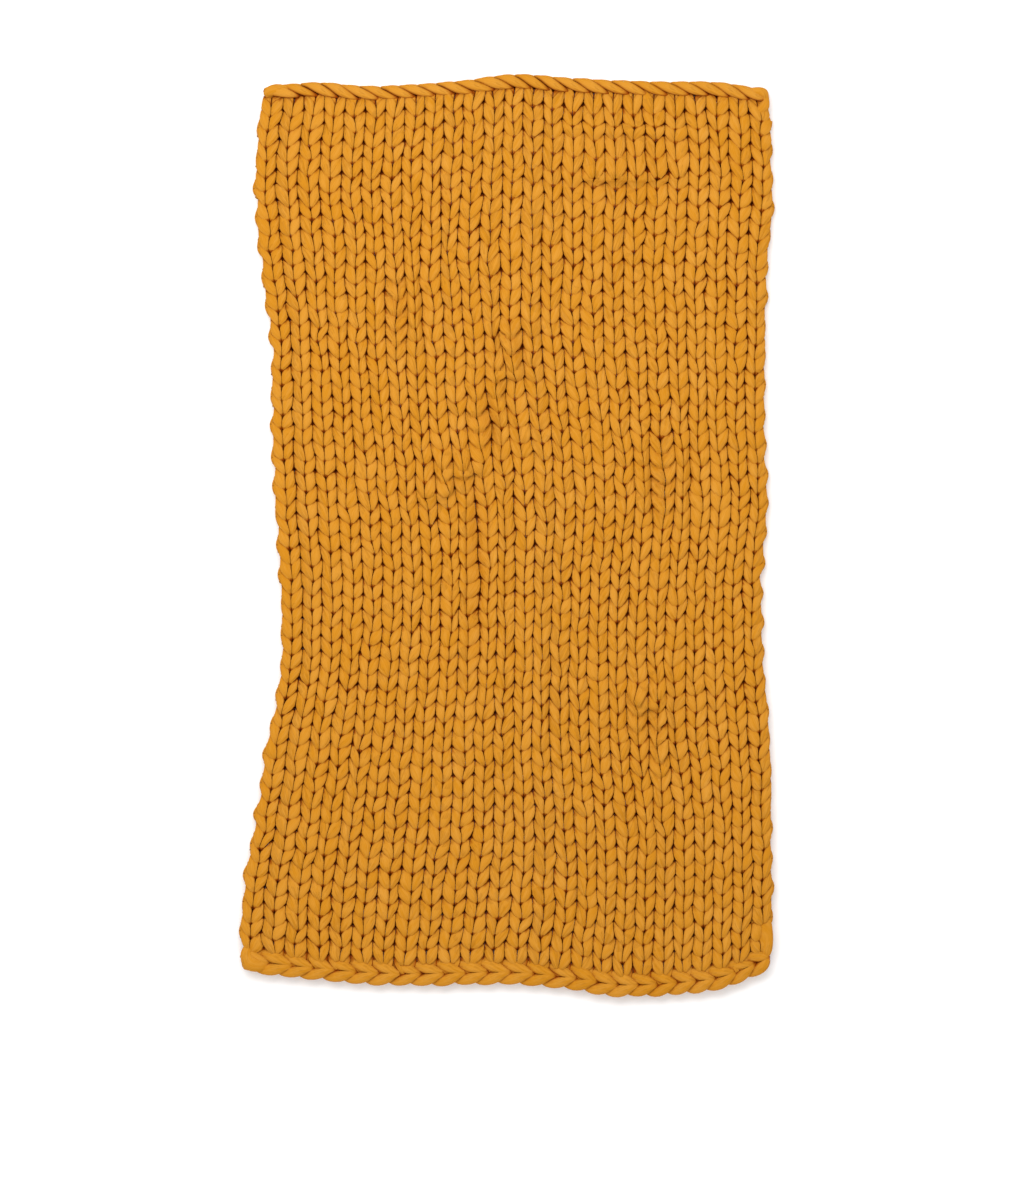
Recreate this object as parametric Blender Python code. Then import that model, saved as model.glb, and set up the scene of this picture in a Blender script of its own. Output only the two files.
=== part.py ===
"""A hand-knitted weighted blanket, laid out flat on the surface that carries it.

It is one cloth of plain stockinette in a single very thick, stuffed yarn: ribs side by side, a chain of cast-on
links along its lower end, a cast-off edge that has rolled forward along its upper end, and sides that turn under.
Metres, +Z up. The origin is the middle of the rest face, and +Y points at the rolled end.
"""

import math

import bmesh
import bpy
import numpy as np

MM = 0.001

# Driving sizes of the cloth.
RIBS = 25
THICKNESS = 35 * MM
RIB_VALLEY = 6 * MM
RIB_GROOVE = 2.5 * MM

# Two long, low waves over the whole cloth: their height, and the metres to one radian across it and along it.
SWELL = 1.5 * MM
SWELL_ACROSS = (0.17, -0.40)
SWELL_ALONG = (0.31, 0.23)

# The rolled end, with its height at shares of its width from the outer edge in.
ROLL_PROFILE = ((0, 0), (0.2, 0.72), (0.5, 1), (0.8, 0.72))
ROLL_RISE = 7 * MM
ROLL_TWIST = 2.5 * MM
ROLL_SCALLOP = 4 * MM

# The chain end: its legs and the groove between them, at shares of its width from the knit out.
CHAIN_LEGS = (0.25, 0.75)
CHAIN_MIDDLE = 0.5
CHAIN_RISE = 5 * MM
CHAIN_GROOVE = 4 * MM
CHAIN_LINK = 3.5 * MM
CHAIN_LEAD = 0.75

# The turned-under sides.
EDGE_ROUND = 20 * MM
EDGE_HEIGHT = 15 * MM
UNDERCUT = 9 * MM

# How finely the top face is divided.
COLUMNS_PER_RIB = 4
FIELD_ROWS = 30

# Across the cloth at each section down its length, in millimetres: the two side edges and every fifth rib line.
SECTION_COLUMNS = ("y", "left", "rib_5", "rib_10", "rib_15", "rib_20", "right")
SECTIONS = (
    (915, -480, -278, -84, 112, 312, 512),
    (862, -488, -278, -85, 111, 311, 518),
    (703, -501, -288, -89, 111, 317, 527),
    (544, -490, -278, -97, 109, 311, 517),
    (386, -470, -278, -85, 107, 317, 512),
    (227, -468, -266, -79, 125, 323, 510),
    (68, -462, -254, -62, 135, 329, 517),
    (-90, -452, -244, -56, 127, 319, 504),
    (-249, -450, -252, -58, 123, 313, 508),
    (-408, -478, -266, -65, 125, 317, 520),
    (-566, -500, -286, -67, 135, 333, 523),
    (-725, -527, -303, -83, 139, 331, 524),
    (-844, -530, -309, -93, 129, 329, 520),
    (-915, -524, -305, -93, 129, 327, 512),
)
SECTION_RIBS = (0, 5, 10, 15, 20, 25)

# Along the two ends at each rib line, in millimetres: both edges of the roll, and both edges of the chain.
END_COLUMNS = ("rib", "roll_edge", "knit_top", "knit_bottom", "chain_edge")
ENDS = (
    (0, 884, 862, -818, -864),
    (2.5, 896, 865, -834, -874),
    (5, 887, 860, -843, -886),
    (7.5, 890, 865, -848, -891),
    (10, 897, 872, -846, -889),
    (12.5, 910, 883, -845, -889),
    (15, 905, 876, -856, -899),
    (17.5, 897, 873, -869, -913),
    (20, 893, 871, -866, -909),
    (22.5, 897, 865, -854, -897),
    (25, 884, 850, -816, -860),
)

# The puckers where the cloth is bunched: middle, heading from +X, reach along and across, height, and how far the
# cloth beside it is drawn in.
FOLD_COLUMNS = ("x", "y", "heading", "reach", "half_width", "height", "draw")
FOLDS = (
    (-206, 425, 95, 80, 26, 12, 6),
    (-4, 362, 85, 45, 32, 15, 5),
    (-40, 219, 108, 62, 28, 13, 6),
    (-89, 116, 4, 85, 28, 14, 6),
    (-45, -90, 88, 125, 24, 9, 5),
    (234, 798, -3, 150, 28, 9, 5),
    (250, 716, 0, 100, 28, 8, 4),
    (327, 102, 92, 62, 26, 8, 4),
    (284, -320, 80, 46, 38, 17, 5),
    (306, -398, 96, 62, 28, 9, 4),
    (281, -594, 95, 72, 26, 10, 4),
)

YARN_COLOUR = (0.60, 0.25, 0.03, 1.0)
YARN_ROUGHNESS = 0.85


def column(names, rows, name):
    """One named column of a table, as an array."""
    return np.array([row[names.index(name)] for row in rows], float)


def smooth(at, places, values):
    """A curve through the values at rising places: a cubic between neighbours that keeps their mean slope."""
    slopes = np.gradient(values, places)
    at = np.clip(at, places[0], places[-1])
    left = np.clip(np.searchsorted(places, at) - 1, 0, len(places) - 2)
    span = places[left + 1] - places[left]
    part = (at - places[left]) / span
    rise = values[left + 1] - values[left]
    bend = slopes[left] * span * part * (1 - part) ** 2 - slopes[left + 1] * span * part**2 * (1 - part)
    return values[left] + rise * part**2 * (3 - 2 * part) + bend


def end_line(name, rib):
    """How far along the cloth one of the end lines lies at each rib place."""
    return MM * smooth(rib, column(END_COLUMNS, ENDS, "rib"), column(END_COLUMNS, ENDS, name))


def across(rib, y):
    """How far across the cloth each rib place lies, at each distance along it."""
    y_mm = column(SECTION_COLUMNS, SECTIONS, "y")[::-1]
    knots = [smooth(y / MM, y_mm, column(SECTION_COLUMNS, SECTIONS, name)[::-1]) for name in SECTION_COLUMNS[1:]]
    knots = np.array(knots)
    step = SECTION_RIBS[1] - SECTION_RIBS[0]
    left = np.clip((rib / step).astype(int), 0, len(SECTION_RIBS) - 2)
    part = rib / step - left
    low = np.take_along_axis(knots, left[None], 0)[0]
    high = np.take_along_axis(knots, left[None] + 1, 0)[0]
    return MM * (low + (high - low) * part)


def pucker(x, y):
    """Every fold's height at a point, and how far it draws the point across, as bell shapes over its length."""
    height = np.zeros_like(x)
    move_x, move_y = np.zeros_like(x), np.zeros_like(x)
    for fold in FOLDS:
        row = dict(zip(FOLD_COLUMNS, fold))
        heading = math.radians(row["heading"])
        along_x, along_y = math.cos(heading), math.sin(heading)
        from_x, from_y = x / MM - row["x"], y / MM - row["y"]
        along = (from_x * along_x + from_y * along_y) / row["reach"]
        side = (from_y * along_x - from_x * along_y) / row["half_width"]
        length_fade = np.exp(-(along**4))
        height += MM * row["height"] * np.exp(-(side**2)) * length_fade
        pull = -MM * row["draw"] * side * np.exp(-(side**2) / 2) * length_fade
        move_x -= pull * along_y
        move_y += pull * along_x
    return height, move_x, move_y


def ribbed(rib):
    """The fall from a rib's crest: a valley between ribs, and a shallow groove down the middle of each."""
    return RIB_VALLEY * np.cos(math.pi * rib) ** 8 + RIB_GROOVE * np.sin(math.pi * rib) ** 8


def edge_fall(distance, crest):
    """Rounds the face down to EDGE_HEIGHT at the outline: a quarter ellipse over the last EDGE_ROUND."""
    inward = np.clip(distance / EDGE_ROUND, 0, 1)
    return EDGE_HEIGHT + (crest - EDGE_HEIGHT) * np.sqrt(1 - (1 - inward) ** 2)


def field_rows():
    """The knitted field: rib place, distance along the cloth, and height of its crests."""
    rib = np.linspace(0, RIBS, RIBS * COLUMNS_PER_RIB + 1)
    top, bottom = end_line("knit_top", rib), end_line("knit_bottom", rib)
    for down in np.linspace(0, 1, FIELD_ROWS + 1):
        y = top + (bottom - top) * down
        yield rib, y, THICKNESS - ribbed(rib)


def roll_rows():
    """The rolled end, from its outer edge in: a rope's round back, with one slanting strand to each rib."""
    rib = np.linspace(0, RIBS, RIBS * COLUMNS_PER_RIB + 1)
    outer, inner = end_line("roll_edge", rib), end_line("knit_top", rib)
    for inward, crest in ROLL_PROFILE:
        slant = 2 * math.pi * (rib - inward)
        y = outer + (inner - outer) * inward + ROLL_SCALLOP * (1 - inward) * np.cos(2 * math.pi * rib)
        height = EDGE_HEIGHT + (THICKNESS + ROLL_RISE - EDGE_HEIGHT) * crest + ROLL_TWIST * crest * np.cos(slant)
        yield rib, y, height


def chain_rows():
    """The cast-on chain, from the knit out: two rows of strands that meet in a groove, each pair one link. The links
    are cosines along it, and in the groove they lead by CHAIN_LEAD, so that every strand slants to it."""
    rib = np.linspace(0, RIBS, RIBS * COLUMNS_PER_RIB + 1)
    inner, outer = end_line("knit_bottom", rib), end_line("chain_edge", rib)
    first_leg, second_leg = CHAIN_LEGS
    for outward in (first_leg, CHAIN_MIDDLE, second_leg):
        to_middle = 1 - abs(outward - CHAIN_MIDDLE) / CHAIN_MIDDLE
        groove = CHAIN_GROOVE if outward == CHAIN_MIDDLE else 0
        link = np.cos(2 * math.pi * (rib - CHAIN_LEAD * to_middle))
        yield rib, inner + (outer - inner) * outward, THICKNESS + CHAIN_RISE - groove + CHAIN_LINK * link
    yield rib, outer, np.full_like(rib, EDGE_HEIGHT)


def top_face():
    """Places of all the top face's points, as an array of rows by columns by x, y and z."""
    rows = [*roll_rows(), *field_rows(), *chain_rows()]
    rib, y, crest = (np.array([row[i] for row in rows]) for i in range(3))
    x = across(rib, y)
    height, move_x, move_y = pucker(x, y)
    swell = np.zeros_like(x)
    for wave_across, wave_along in zip(SWELL_ACROSS, SWELL_ALONG):
        swell += SWELL * np.sin(x / wave_across + y / wave_along)
    to_side = np.minimum(x - x[:, :1], x[:, -1:] - x)
    inside = np.clip(crest - EDGE_HEIGHT, 0, THICKNESS - EDGE_HEIGHT) / (THICKNESS - EDGE_HEIGHT)
    z = edge_fall(to_side, crest + (height + swell) * inside)
    x, y = x + move_x, y + move_y
    middle_x, middle_y = (x.min() + x.max()) / 2, (y.min() + y.max()) / 2
    return np.stack([x - middle_x, y - middle_y, z], axis=2)


def blanket_mesh():
    """The top face as a shaped grid, its rim carried down and tucked in to the floor, and a flat face under it."""
    points = top_face()
    rows, columns = points.shape[:2]
    bm = bmesh.new()
    bmesh.ops.create_grid(bm, x_segments=columns - 1, y_segments=rows - 1, size=0.5)
    bm.verts.ensure_lookup_table()
    for vert in bm.verts:
        across_index = round((vert.co.x + 0.5) * (columns - 1))
        down_index = round((0.5 - vert.co.y) * (rows - 1))
        vert.co = points[down_index, across_index]
    rim = [edge for edge in bm.edges if edge.is_boundary]
    skirt = bmesh.ops.extrude_edge_only(bm, edges=rim)["geom"]
    lower = [item for item in skirt if isinstance(item, bmesh.types.BMVert)]
    for vert in lower:
        vert.co.x *= 1 - UNDERCUT / abs(points[..., 0]).max()
        vert.co.y *= 1 - UNDERCUT / abs(points[..., 1]).max()
        vert.co.z = 0
    hem = [item for item in skirt if isinstance(item, bmesh.types.BMEdge)]
    bmesh.ops.contextual_create(bm, geom=hem)
    bmesh.ops.recalc_face_normals(bm, faces=bm.faces)
    mesh = bpy.data.meshes.new("knit_blanket")
    bm.to_mesh(mesh)
    bm.free()
    return mesh


def yarn_material():
    """Matt ochre yarn."""
    material = bpy.data.materials.new("ochre_yarn")
    material.use_nodes = True
    shader = material.node_tree.nodes["Principled BSDF"]
    shader.inputs["Base Color"].default_value = YARN_COLOUR
    shader.inputs["Roughness"].default_value = YARN_ROUGHNESS
    shader.inputs["Metallic"].default_value = 0.0
    return material


def clear_scene():
    """Empties the scene, so that it holds the blanket alone."""
    for obj in list(bpy.data.objects):
        bpy.data.objects.remove(obj, do_unlink=True)


def build():
    """Makes the blanket's object in a collection of its own."""
    clear_scene()
    collection = bpy.data.collections.new("weighted_blanket")
    bpy.context.scene.collection.children.link(collection)
    mesh = blanket_mesh()
    mesh.materials.append(yarn_material())
    mesh.shade_smooth()
    blanket = bpy.data.objects.new("knit_blanket", mesh)
    collection.objects.link(blanket)


build()
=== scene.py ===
import math

import bpy
import numpy as np
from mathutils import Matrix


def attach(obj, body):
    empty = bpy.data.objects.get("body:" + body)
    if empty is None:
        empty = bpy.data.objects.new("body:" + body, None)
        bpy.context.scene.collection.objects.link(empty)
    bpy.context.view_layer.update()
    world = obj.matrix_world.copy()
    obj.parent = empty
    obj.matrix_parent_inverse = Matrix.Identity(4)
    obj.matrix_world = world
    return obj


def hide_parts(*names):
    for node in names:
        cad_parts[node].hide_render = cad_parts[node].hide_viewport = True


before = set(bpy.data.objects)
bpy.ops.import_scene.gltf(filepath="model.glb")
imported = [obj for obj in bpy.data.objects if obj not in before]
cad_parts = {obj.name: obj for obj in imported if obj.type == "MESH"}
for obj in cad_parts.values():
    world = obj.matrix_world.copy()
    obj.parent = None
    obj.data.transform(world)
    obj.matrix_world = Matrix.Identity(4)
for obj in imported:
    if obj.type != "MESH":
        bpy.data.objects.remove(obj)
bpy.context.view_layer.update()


# ---- The cloth as it lies --------------------------------------------------------------------------
# One knitted cloth of 25 ribs, spread flat by hand. Its ribs wander, its sides are drawn in at the middle
# and its stuffed yarn bunches into puckers where it was not pulled straight. Every stitch of the field is
# laid on this surface.
MM = 0.001
UP = np.array((0.0, 0.0, 1.0))
RIBS = 25
ROWS = 57
RIB_PITCH = 40.4 * MM
ROW_PITCH = 30.4 * MM
MIDDLE_HEIGHT = 17.5 * MM
LEFT_INSET, RIGHT_INSET = 4 * MM, 0.5 * MM
SIDE_REACH = 48 * MM
SIDE_DROP = 7 * MM
SIDE_WAVE = 1.2 * MM

# Two long, low waves over the whole cloth: their height, and the metres to one radian across and along it.
SWELL = 1.5 * MM
SWELL_ACROSS = (0.17, -0.40)
SWELL_ALONG = (0.31, 0.23)

# How the yarn strays from its even place: the usual distance, the limit in such distances, the share of it
# out of the cloth, and how many half ribs and rows the random values reach past the cloth.
UNSETTLED = 2.0 * MM
UNSETTLED_LIMIT = 2
UNSETTLED_OUT = 0.3
UNSETTLED_MARGIN = 4
UNSETTLED_SEED = 11

# How far a stitch on a slope leans square to it, the rest of it being upright, and the step in ribs and rows
# that the slope is taken over.
FAN_SHARE = 0.35
SLOPE_STEP = 0.02

# Across the cloth at each section down its length, in millimetres: the two side edges and every fifth rib
# line.
SECTION_COLUMNS = ("y", "left", "rib_5", "rib_10", "rib_15", "rib_20", "right")
SECTIONS = (
    (915, -480, -278, -84, 112, 312, 512),
    (862, -488, -278, -85, 111, 311, 518),
    (703, -501, -288, -89, 111, 317, 527),
    (544, -490, -278, -97, 109, 311, 517),
    (386, -470, -278, -85, 107, 317, 512),
    (227, -468, -266, -79, 125, 323, 510),
    (68, -462, -254, -62, 135, 329, 517),
    (-90, -452, -244, -56, 127, 319, 504),
    (-249, -450, -252, -58, 123, 313, 508),
    (-408, -478, -266, -65, 125, 317, 520),
    (-566, -500, -286, -67, 135, 333, 523),
    (-725, -527, -303, -83, 139, 331, 524),
    (-844, -530, -309, -93, 129, 329, 520),
    (-915, -524, -305, -93, 129, 327, 512),
)
SECTION_RIBS = (0, 5, 10, 15, 20, 25)

# Along the two ends at each rib line, in millimetres: both edges of the roll, and both edges of the chain.
END_COLUMNS = ("rib", "roll_edge", "knit_top", "knit_bottom", "chain_edge")
ENDS = (
    (0, 884, 862, -818, -864),
    (2.5, 896, 865, -834, -874),
    (5, 887, 860, -843, -886),
    (7.5, 890, 865, -848, -891),
    (10, 897, 872, -846, -889),
    (12.5, 910, 883, -845, -889),
    (15, 905, 876, -856, -899),
    (17.5, 897, 873, -869, -913),
    (20, 893, 871, -866, -909),
    (22.5, 897, 865, -854, -897),
    (25, 884, 850, -816, -860),
)

# Where the cloth is bunched: the middle of each fold, its heading from +X, its reach along and across, its
# height, how far it gathers the cloth beside it, and how far it leans to its left. A furrow has a negative
# height and gathering.
FOLD_COLUMNS = ("x", "y", "heading", "reach", "half_width", "height", "gather", "lean")
FOLDS = (
    (-186, 445, 93, 85, 18, 12, 9, 0),
    (-225, 445, 93, 72, 16, -7, -7, 0),
    (2, 376, 106, 52, 18, 16, 9, 5),
    (4, 326, 172, 26, 15, 13, 4, 7),
    (-40, 217, 100, 50, 16, -7, -7, 0),
    (-8, 217, 100, 60, 17, 14, 9, 0),
    (-95, 142, 184, 40, 19, 16, 4, 13),
    (-143, 90, 190, 27, 18, 15, 5, 8),
    (-61, -95, 90, 190, 10, -8, -7, 0),
    (-93, -70, 88, 150, 17, 8, 8, 0),
    (-22, -30, 90, 130, 17, 9, 8, 0),
    (309, 119, 92, 70, 15, -7, -7, 0),
    (343, 110, 90, 85, 18, 10, 9, 0),
    (266, 110, 90, 85, 18, 8, 7, 0),
    (234, 802, -3, 160, 22, 10, 11, 0),
    (240, 718, 180, 120, 14, 15, 4, 10),
    (276, -321, 176, 24, 16, 16, 3, 13),
    (309, -330, 90, 90, 17, 12, 9, 0),
    (293, -388, 92, 40, 12, -7, -5, 0),
    (281, -594, 95, 72, 22, 10, 8, 0),
)


def column(names, rows, name):
    """One named column of a table, as an array."""
    return np.array([row[names.index(name)] for row in rows], float)


def smooth(at, places, values):
    """A curve through the values at rising places: a cubic between neighbours that keeps their mean slope."""
    slopes = np.gradient(values, places)
    at = np.clip(at, places[0], places[-1])
    left = np.clip(np.searchsorted(places, at) - 1, 0, len(places) - 2)
    span = places[left + 1] - places[left]
    part = (at - places[left]) / span
    rise = values[left + 1] - values[left]
    leaving, reaching = slopes[left] * span, slopes[left + 1] * span
    bend = leaving * part * (1 - part) ** 2 - reaching * part**2 * (1 - part)
    return values[left] + rise * part**2 * (3 - 2 * part) + bend


def eased(share):
    """A share from 0 to 1 that starts and ends level: three of its square less two of its cube."""
    return share**2 * (3 - 2 * share)


def unit(vectors):
    """Vectors at length one."""
    return vectors / np.linalg.norm(vectors, axis=-1, keepdims=True)


def end_line(name, rib):
    """How far along the cloth one of the end lines lies at each rib place."""
    return MM * smooth(rib, column(END_COLUMNS, ENDS, "rib"), column(END_COLUMNS, ENDS, name))


def across(rib, y):
    """How far across the cloth each rib place lies, at each distance along it, and where its two sides are:
    straight between the rib lines, which are smooth curves through the sections."""
    y_mm = column(SECTION_COLUMNS, SECTIONS, "y")[::-1]
    lines = [column(SECTION_COLUMNS, SECTIONS, name)[::-1] for name in SECTION_COLUMNS[1:]]
    knots = np.array([MM * smooth(y / MM, y_mm, line) for line in lines])
    knots[0] += LEFT_INSET
    knots[-1] -= RIGHT_INSET
    step = SECTION_RIBS[1] - SECTION_RIBS[0]
    left = np.clip(np.floor(rib / step).astype(int), 0, len(SECTION_RIBS) - 2)
    part = rib / step - left
    low = np.take_along_axis(knots, left[None], 0)[0]
    high = np.take_along_axis(knots, left[None] + 1, 0)[0]
    return low + (high - low) * part, knots[0], knots[-1]


def pucker(x, y):
    """Every fold's height at a point and how far it moves the point, as bell shapes across it that fade at
    its ends: gathering pulls both sides in, and leaning carries the middle over."""
    height = np.zeros_like(x)
    move_x, move_y = np.zeros_like(x), np.zeros_like(x)
    for fold in FOLDS:
        row = dict(zip(FOLD_COLUMNS, fold))
        heading = math.radians(row["heading"])
        along_x, along_y = math.cos(heading), math.sin(heading)
        from_x, from_y = x / MM - row["x"], y / MM - row["y"]
        along = (from_x * along_x + from_y * along_y) / row["reach"]
        side = (from_y * along_x - from_x * along_y) / row["half_width"]
        bell, wide_bell = np.exp(-(side**2)), np.exp(-(side**2) / 2)
        length_fade = np.exp(-(along**4))
        height += MM * row["height"] * bell * length_fade
        pull = MM * (row["lean"] * bell - row["gather"] * side * wide_bell) * length_fade
        move_x -= pull * along_y
        move_y += pull * along_x
    return height, move_x, move_y


def cloth_point(rib, row):
    """The middle of the cloth's thickness at a rib and row place: the end lines and sections place it, the
    folds raise and bunch it, two long sine waves unsettle it, and a parabola lets the sides droop."""
    bottom, top = end_line("knit_bottom", rib), end_line("knit_top", rib)
    y = bottom + (top - bottom) * row / ROWS
    x, left, right = across(rib, y)
    height, move_x, move_y = pucker(x, y)
    waves = (np.sin(x / wide + y / long) for wide, long in zip(SWELL_ACROSS, SWELL_ALONG))
    swell = SWELL * sum(waves)
    to_side = np.clip(np.minimum(x - left, right - x) / SIDE_REACH, 0, 1)
    z = MIDDLE_HEIGHT + height + swell - SIDE_DROP * (1 - to_side) ** 2
    return np.stack([x + move_x, y + move_y, z], axis=-1)


unsettled_size = (2 * (RIBS + UNSETTLED_MARGIN), ROWS + 2 * UNSETTLED_MARGIN, 3)
unsettled_knots = np.random.default_rng(UNSETTLED_SEED).standard_normal(unsettled_size)
unsettled_knots = UNSETTLED * unsettled_knots.clip(-UNSETTLED_LIMIT, UNSETTLED_LIMIT)


def unsettled(flat):
    """How far the yarn lies from its even place at each point: random steps for every half rib and row,
    eased from one to the next in each direction, and less out of the cloth."""
    half_rib = flat[..., 0] / RIB_PITCH * 2 + UNSETTLED_MARGIN
    row = flat[..., 1] / ROW_PITCH + UNSETTLED_MARGIN
    left = np.clip(np.floor(half_rib).astype(int), 0, unsettled_knots.shape[0] - 2)
    low = np.clip(np.floor(row).astype(int), 0, unsettled_knots.shape[1] - 2)
    right_share = eased((half_rib - left)[..., None])
    high_share = eased((row - low)[..., None])
    lower, upper = (
        unsettled_knots[left, at] * (1 - right_share) + unsettled_knots[left + 1, at] * right_share
        for at in (low, low + 1)
    )
    return (lower * (1 - high_share) + upper * high_share) * (1, 1, UNSETTLED_OUT)


def side_wave(flat):
    """How far the two sides swing out and in: a cosine over two rows, as the strand turns there every second
    row, that fades within the outermost rib."""
    from_left = flat[..., 0] / RIB_PITCH
    from_right = RIBS - from_left
    near_left, near_right = (np.clip(1 - away, 0, 1) ** 2 for away in (from_left, from_right))
    wave = SIDE_WAVE * np.cos(math.pi * flat[..., 1] / ROW_PITCH)
    return wave * (near_left + near_right)


def lay(flat):
    """Puts points given in the flat cloth's metres (across, along, out of it) on the cloth as it lies. Out is
    partly along the surface's normal, the cross product of its two slopes, and partly upright, as stuffed
    yarn bunches on a fold more than it fans out."""
    flat = flat + unsettled(flat)
    flat[..., 0] += side_wave(flat)
    rib, row = flat[..., 0] / RIB_PITCH, flat[..., 1] / ROW_PITCH
    here = cloth_point(rib, row)
    slope_across = cloth_point(rib + SLOPE_STEP, row) - here
    slope_along = cloth_point(rib, row + SLOPE_STEP) - here
    normal = unit(np.cross(slope_across, slope_along))
    return here + unit(FAN_SHARE * normal + (1 - FAN_SHARE) * UP) * flat[..., 2:]


# ---- The yarn --------------------------------------------------------------------------------------
# A seamless jersey tube about 20 mm across, stuffed with fibre and dyed ochre. Its stretched ribs run along
# the strand as fine lines, and it creases across where it turns. It is matt, with a soft bloom at grazing
# angles.
RING_ANGLES = np.radians([-90, -42, 0, 27, 56, 90, 124, 153, 180, 222])

# Painted shade in the knitting: the height over the cloth's middle at which shade starts to be painted into
# the yarn's colour and the height at which it is full, and how much deeper a strand's crest stays unshaded.
SHADE_START_HEIGHT = 14.6 * MM
FULL_SHADE_HEIGHT = 6.5 * MM
CREST_UNSHADED = 4.5 * MM
CREST_POWER = 3

# The jersey's pattern on the strand: its scales are in features to the metre, its headings and its wander in
# radians, and its heights in shares of the bump's depth.
LINE_SPACING = 2.1 * MM
LINE_HEIGHT = 0.35
WANDER_SCALE = 70.0
WANDER = 5.0
STREAK_SCALES = (30.0, 260.0)
STREAK_HEADING = 0.12
STREAK_ROUGHNESS = 0.6
STREAK_GAIN = 3.0
STREAK_HEIGHT = 0.5
WRINKLE_SCALES = (14.0, 170.0)
WRINKLE_HEADING = -0.1
WRINKLE_SHARPNESS = 14.0
WRINKLE_HEIGHT = -0.8
PATCH_SCALE = 26.0
PATCH_DETAIL = 1.0
PATCH_FROM = 0.54
FUZZ_SCALE = 900.0
FUZZ_HEIGHT = 0.25

# The yarn's colours and how much each part of the pattern changes them. Two of them are painted shade: a
# shade colour and a darker one, painted in where the yarn lies inside the knitting, in the wrinkles' creases
# and between the fine lines.
YARN_COLOUR = (0.513, 0.202, 0.011, 1.0)
YARN_PALE = (0.595, 0.268, 0.038, 1.0)
YARN_SHADE = (0.3, 0.045, 0.0, 1.0)
YARN_DEEP_SHADE = (0.07, 0.006, 0.0, 1.0)
DRIFT_SCALE = 14.0
DRIFT_SHARE = 0.7
STREAK_SHARE = 0.6
SHADE_GAIN = 4.5
SHADE_SHARE = 0.92
DEEP_SHADE_POWER = 1.2
DEEP_SHADE_SHARE = 0.9
CREASE_SHADE_SHARE = 0.16
BETWEEN_LINES_SHADE_SHARE = 0.07

# The yarn's finish: how rough it is and how much less so on its lines, its bump, its gloss and its bloom,
# and how full it is stuffed.
ROUGHNESS = 0.86
LINE_SMOOTHNESS = -0.08
BUMP_STRENGTH = 0.55
BUMP_DEPTH = 0.9 * MM
SPECULAR = 0.03
SHEEN = 0.05
SHEEN_ROUGHNESS = 0.5
SHEEN_TINT = (1.0, 0.55, 0.12, 1.0)


def squared(wave, squareness):
    """A sine or cosine made blunt: its size raised to two over the squareness, with its sign kept."""
    return np.sign(wave) * np.abs(wave) ** (2 / squareness)


def tube(path, half_width, half_depth, squareness):
    """Rings round each path, square to its direction and level across: ovals at a squareness of two, with
    blunter shoulders above it, where one strand presses on the next. Each ring starts underneath."""
    direction = unit(np.gradient(path, axis=-2))
    side = unit(np.cross(direction, np.broadcast_to(UP, path.shape)))
    rise = np.cross(side, direction)
    reach, lift = squared(np.cos(RING_ANGLES), squareness), squared(np.sin(RING_ANGLES), squareness)
    sideways = side[..., None, :] * (half_width[..., None] * reach)[..., None]
    upward = rise[..., None, :] * (half_depth[..., None] * lift)[..., None]
    return path[..., None, :] + sideways + upward


def painted_shade_by_depth(height):
    """The share of painted shade at the points of rings, by how far into the knitting they lie from their
    height
    over its middle: none near either face, all inside. A strand's crest, by a power of its ring angle's sine,
    stays unshaded a little further in."""
    height = height + CREST_UNSHADED * np.clip(np.sin(RING_ANGLES), 0, 1) ** CREST_POWER
    return np.clip((SHADE_START_HEIGHT - np.abs(height)) / (SHADE_START_HEIGHT - FULL_SHADE_HEIGHT), 0, 1)


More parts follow.
